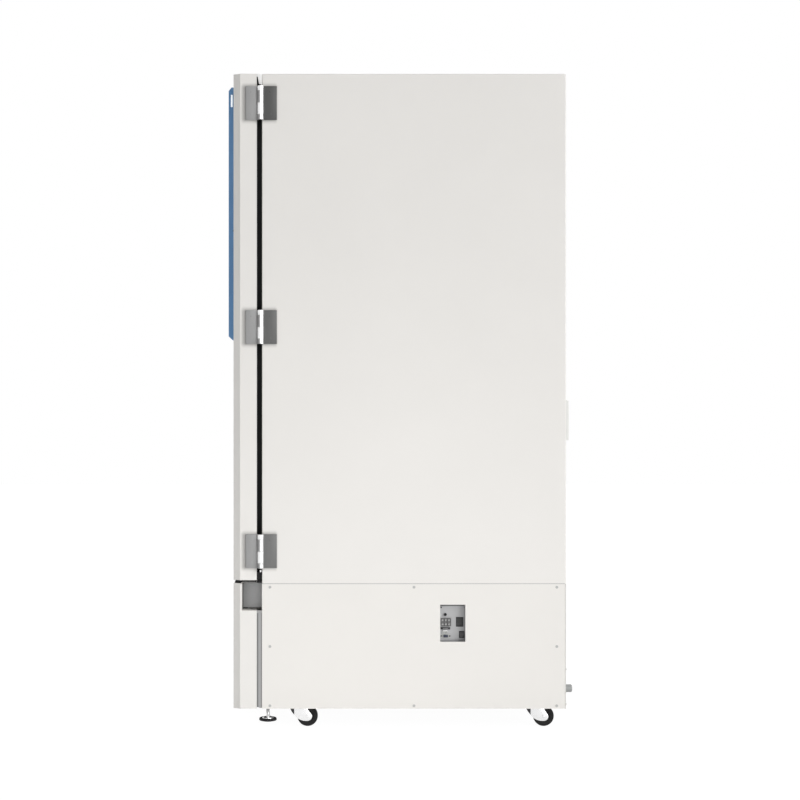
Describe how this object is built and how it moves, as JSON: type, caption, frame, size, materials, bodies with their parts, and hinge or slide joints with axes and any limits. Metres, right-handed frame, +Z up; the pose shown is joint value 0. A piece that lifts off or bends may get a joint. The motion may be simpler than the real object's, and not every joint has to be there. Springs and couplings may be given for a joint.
{
  "type": "ultra low temperature freezer",
  "caption": "Upright ultra low temperature freezer on casters, with a hinged insulated door, inner doors, shelves and a refrigeration machine in its base.",
  "frame": {"origin": "centre of the overall box, on the floor under the casters", "axes": "+Z up, -Y to the door's front, +X to the hinge side"},
  "size_m": [0.9452, 1.0756, 1.98],
  "materials": {
    "white_steel": "warm white powder coat, slightly glossy",
    "white_plastic": "satin moulded plastic",
    "foam": "closed-cell polyurethane foam",
    "liner_steel": "brushed stainless sheet",
    "grey_steel": "grey zinc-coated sheet",
    "bright_zinc": "bright zinc plating",
    "hinge_grey": "grey cast and painted",
    "black_rubber": "black rubber",
    "black_plastic": "black moulded plastic",
    "blue_plastic": "grey-blue moulded plastic",
    "lens_white": "translucent white lens",
    "display_glass": "dark display glass",
    "copper": "copper tube",
    "aluminium_fin": "plain aluminium",
    "black_enamel": "black enamel",
    "filter_mesh": "dark open foam"
  },
  "bodies": {
    "cabinet": {"outer_cabinet": "white_steel", "cabinet_insulation": "foam", "inner_liner": "liner_steel", "breaker_frame": "white_plastic", "evaporator_tubes": "copper", "shelves": "liner_steel", "inner_door_rod": "bright_zinc", "base_frame": "grey_steel", "caster_plates": "bright_zinc", "right_side_cover": "white_steel", "left_side_cover": "white_steel", "rear_cover": "white_steel", "cover_screws": "bright_zinc", "terminal_box": "grey_steel", "terminal_sockets": "black_plastic", "switch_bezels": "black_plastic", "compressors": "black_enamel", "condenser": "aluminium_fin", "fan_motor": "black_enamel", "refrigerant_pipes": "copper", "control_box": "grey_steel", "access_port_sleeve": "white_plastic", "cabinet_hinge_leaves": "hinge_grey", "hinge_pins": "bright_zinc", "latch_strike": "hinge_grey", "cord_gland": "black_plastic"},
    "door": {"door_shell": "white_steel", "door_insulation": "foam", "door_liner": "white_plastic", "door_gasket": "black_rubber", "door_hinge_leaves": "hinge_grey", "fascia": "blue_plastic", "status_lens": "lens_white", "display": "display_glass", "handle_bracket": "hinge_grey", "lock_housing": "bright_zinc", "pressure_port": "white_plastic"},
    "handle": {"handle_lever": "hinge_grey"},
    "lock": {"lock_cylinder": "bright_zinc"},
    "port_knob": {"pressure_port_knob": "black_plastic"},
    "lower_panel": {"front_panel": "white_steel", "air_filter": "filter_mesh"},
    "power_rocker": {"power_switch": "black_plastic"},
    "battery_rocker": {"battery_switch": "black_plastic"},
    "fan": {"fan_blades": "black_plastic"},
    "port_plug": {"access_port_plug": "white_plastic"},
    "foot_right": {"levelling_foot_right": "bright_zinc"},
    "foot_left": {"levelling_foot_left": "bright_zinc"},
    "inner_door_1": {"inner_door_1": "white_plastic"},
    "inner_door_2": {"inner_door_2": "white_plastic"},
    "inner_door_3": {"inner_door_3": "white_plastic"},
    "inner_door_4": {"inner_door_4": "white_plastic"},
    "fork_front_right": {"caster_fork_front_right": "bright_zinc"},
    "wheel_front_right": {"caster_wheel_front_right": "black_rubber"},
    "fork_front_left": {"caster_fork_front_left": "bright_zinc"},
    "wheel_front_left": {"caster_wheel_front_left": "black_rubber"},
    "fork_rear_right": {"caster_fork_rear_right": "bright_zinc"},
    "wheel_rear_right": {"caster_wheel_rear_right": "black_rubber"},
    "fork_rear_left": {"caster_fork_rear_left": "bright_zinc"},
    "wheel_rear_left": {"caster_wheel_rear_left": "black_rubber"}
  },
  "joints": [
    {"name": "main_door", "type": "hinge", "parent": "cabinet", "child": "door", "pos_m": [0.46311, -0.41725, 1.215], "axis": [0, 0, 1], "range_deg": [0, 115]},
    {"name": "handle_pull", "type": "hinge", "parent": "door", "child": "handle", "pos_m": [-0.45589, -0.44525, 1.18], "axis": [0, 0, 1], "range_deg": [-40, 0], "stiffness_Nm_per_rad": 3},
    {"name": "lock_turn", "type": "hinge", "parent": "door", "child": "lock", "pos_m": [-0.39189, -0.49975, 1], "axis": [0, 1, 0], "range_deg": [0, 90]},
    {"name": "port_knob_push", "type": "slide", "parent": "door", "child": "port_knob", "axis": [0, 1, 0], "range_m": [0, 0.005], "stiffness_N_per_m": 800},
    {"name": "panel_tilt", "type": "hinge", "parent": "cabinet", "child": "lower_panel", "pos_m": [0.00311, -0.42225, 0.068], "axis": [1, 0, 0], "range_deg": [0, 38]},
    {"name": "power_rock", "type": "hinge", "parent": "cabinet", "child": "power_rocker", "pos_m": [0.41561, 0.18675, 0.3203], "axis": [0, 1, 0], "range_deg": [0, 16]},
    {"name": "battery_rock", "type": "hinge", "parent": "cabinet", "child": "battery_rocker", "pos_m": [0.41561, 0.19275, 0.282], "axis": [0, 1, 0], "range_deg": [0, 16]},
    {"name": "fan_spin", "type": "hinge", "parent": "cabinet", "child": "fan", "pos_m": [0.00311, -0.24325, 0.27], "axis": [0, 1, 0], "continuous": true},
    {"name": "port_plug_pull", "type": "slide", "parent": "cabinet", "child": "port_plug", "axis": [0, 1, 0], "range_m": [0, 0.13]},
    {"name": "foot_right_height", "type": "slide", "parent": "cabinet", "child": "foot_right", "axis": [0, 0, 1], "range_m": [-0.018, 0.01]},
    {"name": "foot_left_height", "type": "slide", "parent": "cabinet", "child": "foot_left", "axis": [0, 0, 1], "range_m": [-0.018, 0.01]},
    {"name": "inner_door_1_swing", "type": "hinge", "parent": "cabinet", "child": "inner_door_1", "pos_m": [0.32711, -0.35225, 0.71588], "axis": [0, 0, 1], "range_deg": [0, 92]},
    {"name": "inner_door_2_swing", "type": "hinge", "parent": "cabinet", "child": "inner_door_2", "pos_m": [0.32711, -0.35225, 1.04563], "axis": [0, 0, 1], "range_deg": [0, 92]},
    {"name": "inner_door_3_swing", "type": "hinge", "parent": "cabinet", "child": "inner_door_3", "pos_m": [0.32711, -0.35225, 1.37538], "axis": [0, 0, 1], "range_deg": [0, 92]},
    {"name": "inner_door_4_swing", "type": "hinge", "parent": "cabinet", "child": "inner_door_4", "pos_m": [0.32711, -0.35225, 1.70513], "axis": [0, 0, 1], "range_deg": [0, 92]},
    {"name": "swivel_front_right", "type": "hinge", "parent": "cabinet", "child": "fork_front_right", "pos_m": [0.39111, -0.30175, 0.076], "axis": [0, 0, 1], "continuous": true},
    {"name": "roll_front_right", "type": "hinge", "parent": "fork_front_right", "child": "wheel_front_right", "pos_m": [0.39111, -0.27575, 0.0314], "axis": [1, 0, 0], "continuous": true},
    {"name": "swivel_front_left", "type": "hinge", "parent": "cabinet", "child": "fork_front_left", "pos_m": [-0.38489, -0.30175, 0.076], "axis": [0, 0, 1], "continuous": true},
    {"name": "roll_front_left", "type": "hinge", "parent": "fork_front_left", "child": "wheel_front_left", "pos_m": [-0.38489, -0.27575, 0.0314], "axis": [1, 0, 0], "continuous": true},
    {"name": "swivel_rear_right", "type": "hinge", "parent": "cabinet", "child": "fork_rear_right", "pos_m": [0.39111, 0.41845, 0.076], "axis": [0, 0, 1], "continuous": true},
    {"name": "roll_rear_right", "type": "hinge", "parent": "fork_rear_right", "child": "wheel_rear_right", "pos_m": [0.39111, 0.44445, 0.0314], "axis": [1, 0, 0], "continuous": true},
    {"name": "swivel_rear_left", "type": "hinge", "parent": "cabinet", "child": "fork_rear_left", "pos_m": [-0.38489, 0.41845, 0.076], "axis": [0, 0, 1], "continuous": true},
    {"name": "roll_rear_left", "type": "hinge", "parent": "fork_rear_left", "child": "wheel_rear_left", "pos_m": [-0.38489, 0.44445, 0.0314], "axis": [1, 0, 0], "continuous": true}
  ],
  "couplings": [
    {"joint": "inner_door_1_swing", "follows": "main_door", "ratio": 0.8},
    {"joint": "inner_door_2_swing", "follows": "main_door", "ratio": 0.8},
    {"joint": "inner_door_3_swing", "follows": "main_door", "ratio": 0.8},
    {"joint": "inner_door_4_swing", "follows": "main_door", "ratio": 0.8}
  ]
}
